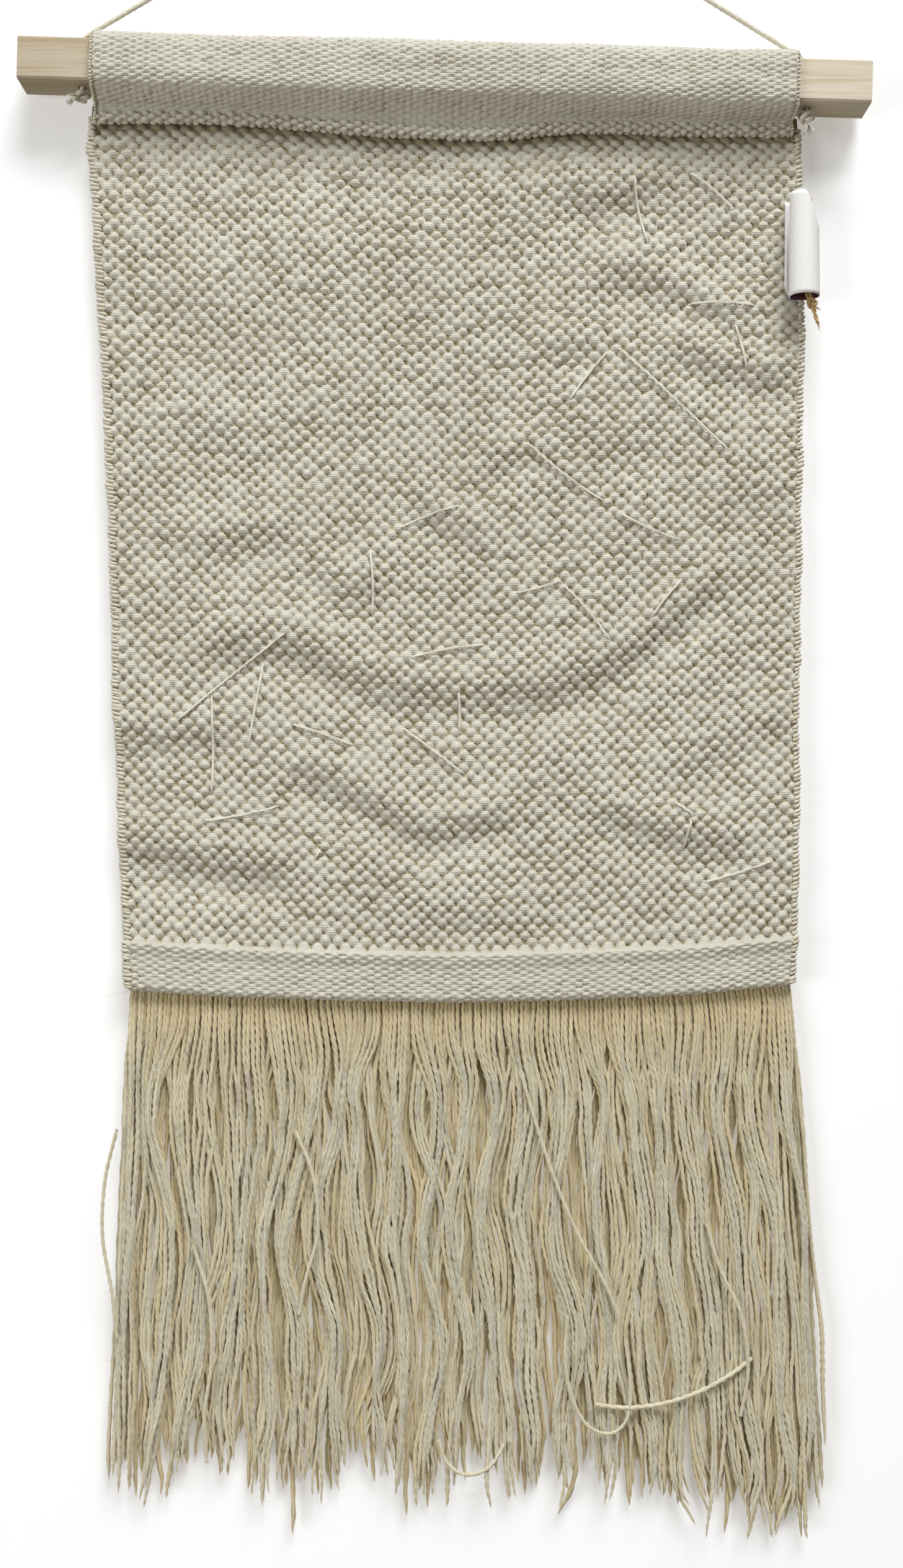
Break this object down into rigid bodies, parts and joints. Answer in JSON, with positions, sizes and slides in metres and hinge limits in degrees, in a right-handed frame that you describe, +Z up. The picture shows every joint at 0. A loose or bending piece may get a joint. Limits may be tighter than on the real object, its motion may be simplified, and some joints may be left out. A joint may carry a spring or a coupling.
{
  "type": "tapestry wall hanging",
  "caption": "Woven cotton wall hanging on a square wooden batten, with a rod pocket, a stitched panel, a turned-up hem, a long wool fringe, a paper hang tag and a cord to hang it from a nail.",
  "frame": {"origin": "where the cord bears on the nail: the underside of the hanging cord's apex", "axes": "+X to the viewer's right along the batten, +Y into the wall, +Z up"},
  "size_m": [0.3644, 0.024, 0.7426],
  "materials": {
    "batten_wood": "matte",
    "cotton_cord": "matte",
    "woven_cloth": "matte",
    "white_thread": "matte",
    "wool_yarn": "matte",
    "tag_card": "matte",
    "jute_twine": "matte"
  },
  "bodies": {
    "batten": {"batten": "batten_wood", "hanging_cord": "cotton_cord", "cord_knot_left": "cotton_cord", "cord_knot_right": "cotton_cord"},
    "pocket": {"pocket_front": "woven_cloth", "pocket_top": "woven_cloth", "pocket_back": "woven_cloth", "pocket_turn_under": "woven_cloth", "pocket_seam_thread": "white_thread"},
    "panel": {"panel": "woven_cloth", "hem": "woven_cloth", "hem_seam_thread": "white_thread", "accent_stitches": "white_thread", "fringe_header": "wool_yarn", "fringe_seam_thread": "white_thread"},
    "fringe": {"fringe_lock_1": "wool_yarn", "fringe_lock_2": "wool_yarn", "fringe_lock_3": "wool_yarn", "fringe_lock_4": "wool_yarn", "fringe_lock_5": "wool_yarn", "fringe_lock_6": "wool_yarn", "fringe_lock_7": "wool_yarn", "fringe_lock_8": "wool_yarn", "fringe_lock_9": "wool_yarn", "fringe_lock_10": "wool_yarn", "fringe_lock_11": "wool_yarn", "fringe_lock_12": "wool_yarn", "fringe_lock_13": "wool_yarn", "fringe_lock_14": "wool_yarn", "fringe_lock_15": "wool_yarn"},
    "tag": {"hang_tag": "tag_card", "tag_twine": "jute_twine"}
  },
  "joints": [
    {"name": "pocket_slide", "type": "slide", "parent": "batten", "child": "pocket", "axis": [0.9996, 0, -0.0288], "range_m": [-0.0015, 0.0015]},
    {"name": "panel_swing", "type": "hinge", "parent": "pocket", "child": "panel", "pos_m": [0.00432, 0.005, -0.12969], "axis": [-0.9996, 0, 0.0288], "range_deg": [-30, 75]},
    {"name": "fringe_swing", "type": "hinge", "parent": "panel", "child": "fringe", "pos_m": [0.012, 0.0075, -0.5055], "axis": [-1, 0, 0], "range_deg": [-80, 80]},
    {"name": "tag_swing", "type": "hinge", "parent": "panel", "child": "tag", "pos_m": [0.1615, -0.0044, -0.157], "axis": [0, -1, 0], "range_deg": [-25, 60]}
  ]
}
